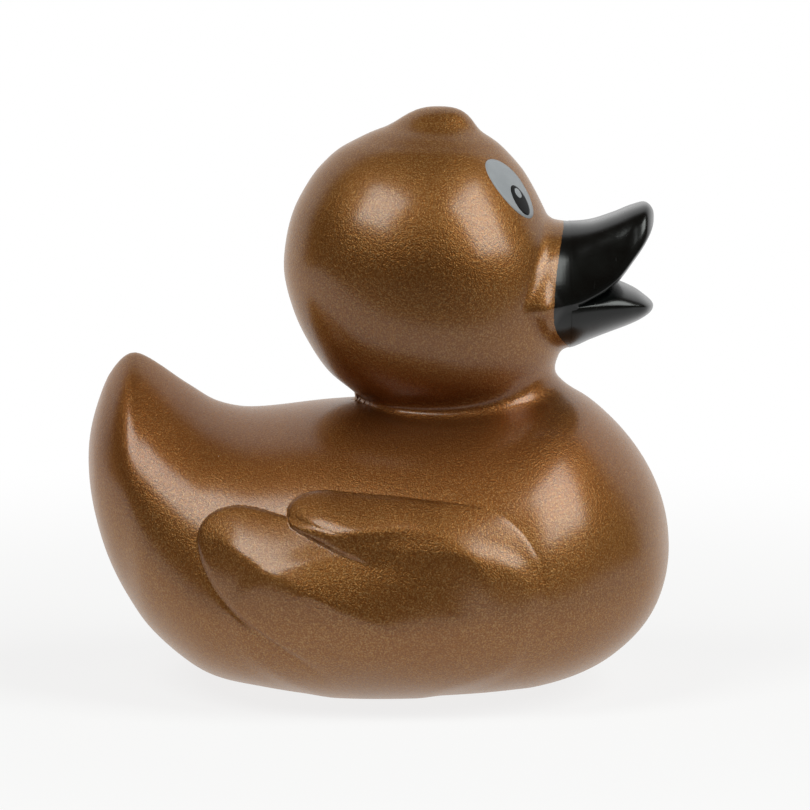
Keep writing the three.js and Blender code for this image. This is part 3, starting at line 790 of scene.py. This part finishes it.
natural, shader, place = finish_of("natural_polyethylene", {
    "IOR": 1.5, "Subsurface Weight": 0.12, "Subsurface Scale": 0.001,
})
haze = place.noise(0.0012, 3.0, 0.5)
pits = place.noise(0.00015, 2.0, 0.6)
drive(
    shader,
    Base_Color=mixed(haze.between(0.3, 0.7), (0.74, 0.71, 0.63), (0.82, 0.80, 0.74)),
    Roughness=0.42 + 0.12 * pits,
    Normal=bumped(pits, 0.25, 0.00003),
)
CUP_BOTTOM, CUP_TOP, CUP_FLOOR = 0.5, 13.1, 1.2
CUP_OUTER, CUP_INNER = 3.95, 3.05
FLANGE_RADIUS, FLANGE_THICKNESS, SOUND_HOLE = 5.8, 0.8, 1.8
BARB_FOOT, BARB_PROUD, BARB_HEIGHT = 3.35, 0.5, 1.4
cup = turned([
    (SOUND_HOLE, CUP_BOTTOM), (FLANGE_RADIUS, CUP_BOTTOM),
    (FLANGE_RADIUS, CUP_BOTTOM + FLANGE_THICKNESS), (CUP_OUTER, CUP_BOTTOM + FLANGE_THICKNESS),
    (CUP_OUTER, BARB_FOOT), (CUP_OUTER + BARB_PROUD, BARB_FOOT),
    (CUP_OUTER, BARB_FOOT + BARB_HEIGHT), (CUP_OUTER, CUP_TOP), (CUP_INNER, CUP_TOP),
    (CUP_INNER, CUP_BOTTOM + CUP_FLOOR), (SOUND_HOLE, CUP_BOTTOM + CUP_FLOOR),
    (SOUND_HOLE, CUP_BOTTOM),
], 72)
CUP_EDGE, SHARP_ANGLE = 0.12, math.radians(40)
sharp = [e for e in cup.edges if e.calc_face_angle(0) > SHARP_ANGLE]
bmesh.ops.bevel(cup, geom=sharp, offset=CUP_EDGE, offset_type="OFFSET", segments=3, profile=0.5,
                affect="EDGES", material=-1, clamp_overlap=True)
piece_of("squeaker_cup", cup, natural, nodes=["squeaker_housing"])

film, shader, place = finish_of("reed_film", {"IOR": 1.55})
sheen = place.node("ShaderNodeMapping", None, {"Vector": place, "Scale": (1, 1, 0.08)})
lines = sheen.noise(0.0001, 2.0, 0.5)
drive(
    shader,
    Base_Color=mixed(lines.between(0.3, 0.7), (0.62, 0.57, 0.47), (0.70, 0.66, 0.56)),
    Roughness=0.28 + 0.15 * lines,
    Normal=bumped(lines, 0.15, 0.00002),
)
for node, finish in {"squeaker_cap": natural, "reed_block": natural, "reed_wedge": natural,
                     "reed_tongue": film}.items():
    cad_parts[node].data.materials.clear()
    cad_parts[node].data.materials.append(finish)


# The studio
# The duck stands on white paper, which sweeps up behind it and ends a little in front of it
# on a darker table. Two large soft boxes light it, to the left and the right of the camera, in
# a dim warm room.

FLOOR_RADIUS = 3.0
floor_bm = bmesh.new()
bmesh.ops.create_circle(floor_bm, cap_ends=True, segments=64, radius=FLOOR_RADIUS)
floor_mesh = bpy.data.meshes.new("studio_floor")
floor_bm.to_mesh(floor_mesh)
floor = bpy.data.objects.new("studio_floor", floor_mesh)
bpy.context.scene.collection.objects.link(floor)


def bare_tree(owner):
    """The emptied node tree of a material or world, as a wire to build from."""
    owner.use_nodes = True
    owner.node_tree.nodes.clear()
    return Wire(owner.node_tree)


def rays(start):
    """1 for rays straight from the camera, and 1 for those off or through something glossy."""
    kinds = ("Is Camera Ray", "Is Glossy Ray", "Is Transmission Ray")
    seen, glossy, through = (start.node("ShaderNodeLightPath", output=kind) for kind in kinds)
    return seen, glossy + through


def give_surface(made, output):
    made.tree.links.new(made.socket, made.tree.nodes.new(output).inputs["Surface"])


TABLE, PAPER = (0.16, 0.15, 0.14), (0.8, 0.8, 0.8)
TABLE_TO, PAPER_FROM = -0.150, -0.088
SHADOW_SHARE, SHADOW_NEAR, SHADOW_FAR = 0.18, 0.06, 0.25
paper = bpy.data.materials.new("white_paper")
start = bare_tree(paper)
seen, mirrored = rays(start)
glow = start.node("ShaderNodeEmission", None, {"Color": (1, 1, 1, 1), "Strength": 1.0})
spot = start.node("ShaderNodeTexCoord", output="Object")
along = spot.node("ShaderNodeSeparateXYZ", None, {"Vector": spot}, "Y")
sheet = along.between(TABLE_TO, PAPER_FROM)
matt = start.node("ShaderNodeBsdfDiffuse", None, {"Color": mixed(sheet, TABLE, PAPER)})
away = spot.node("ShaderNodeVectorMath", {"operation": "LENGTH"}, {0: spot}, "Value")
lit_share = 1 - SHADOW_SHARE + SHADOW_SHARE * away.between(SHADOW_NEAR, SHADOW_FAR)
white = (seen + mirrored * sheet).between(0, 1) * lit_share
give_surface(start.node("ShaderNodeMixShader", None, {0: white, 1: matt, 2: glow}),
             "ShaderNodeOutputMaterial")
floor_mesh.materials.append(paper)

ROOM, SWEEP = (0.06, 0.025, 0.015), (1, 1, 1)
SWEEP_FROM, SWEEP_FULL = 0.25, 0.6
world = bpy.data.worlds.new("studio_room")
bpy.context.scene.world = world
start = bare_tree(world)
seen, mirrored = rays(start)
way = start.node("ShaderNodeTexCoord", output="Generated")
along = start.node("ShaderNodeSeparateXYZ", None, {"Vector": way}, "Y")
white = (seen + mirrored * along.between(SWEEP_FROM, SWEEP_FULL)).between(0, 1)
room, sweep = (start.node("ShaderNodeBackground", None, {"Color": (*c, 1), "Strength": 1.0})
               for c in (ROOM, SWEEP))
give_surface(start.node("ShaderNodeMixShader", None, {0: white, 1: room, 2: sweep}),
             "ShaderNodeOutputWorld")

AIM = Vector((0.0036, 0, 0.0388))


def aimed(thing, azimuth, elevation, distance):
    """Puts a lamp or a camera at a distance from the aim, turned to face it. The azimuth is
    counted from the duck's right side towards its front, in degrees."""
    a, e = math.radians(azimuth), math.radians(elevation)
    out = Vector((math.sin(a) * math.cos(e), -math.cos(a) * math.cos(e), math.sin(e)))
    thing.location = AIM + out * distance
    thing.rotation_mode = "QUATERNION"
    thing.rotation_quaternion = out.to_track_quat("Z", "Y")
    bpy.context.scene.collection.objects.link(thing)


LAMP_COLOUR, LAMP_DISTANCE = (0.95, 1.0, 0.97), 0.9


def soft_box(name, azimuth, elevation, width, height, power):
    light = bpy.data.lights.new(name, "AREA")
    light.shape, light.size, light.size_y, light.energy = "RECTANGLE", width, height, power
    light.color = LAMP_COLOUR
    aimed(bpy.data.objects.new(name, light), azimuth, elevation, LAMP_DISTANCE)


soft_box("left_soft_box", -48, 52, width=0.40, height=0.46, power=3.8)
soft_box("right_soft_box", 64, 42, width=0.48, height=0.60, power=5.8)

CAMERA_ELEVATION, CAMERA_DISTANCE, PIXELS_PER_MM, PICTURE = 6.5, 0.6, 7.23, 810
camera_data = bpy.data.cameras.new("camera")
half_view = PICTURE / PIXELS_PER_MM * MM / 2
camera_data.lens = camera_data.sensor_width / 2 * CAMERA_DISTANCE / half_view
camera_data.clip_start, camera_data.clip_end = 0.01, 20
camera = bpy.data.objects.new("camera", camera_data)
aimed(camera, 0, CAMERA_ELEVATION, CAMERA_DISTANCE)
bpy.context.scene.camera = camera
bpy.context.scene.view_settings.view_transform = "Standard"
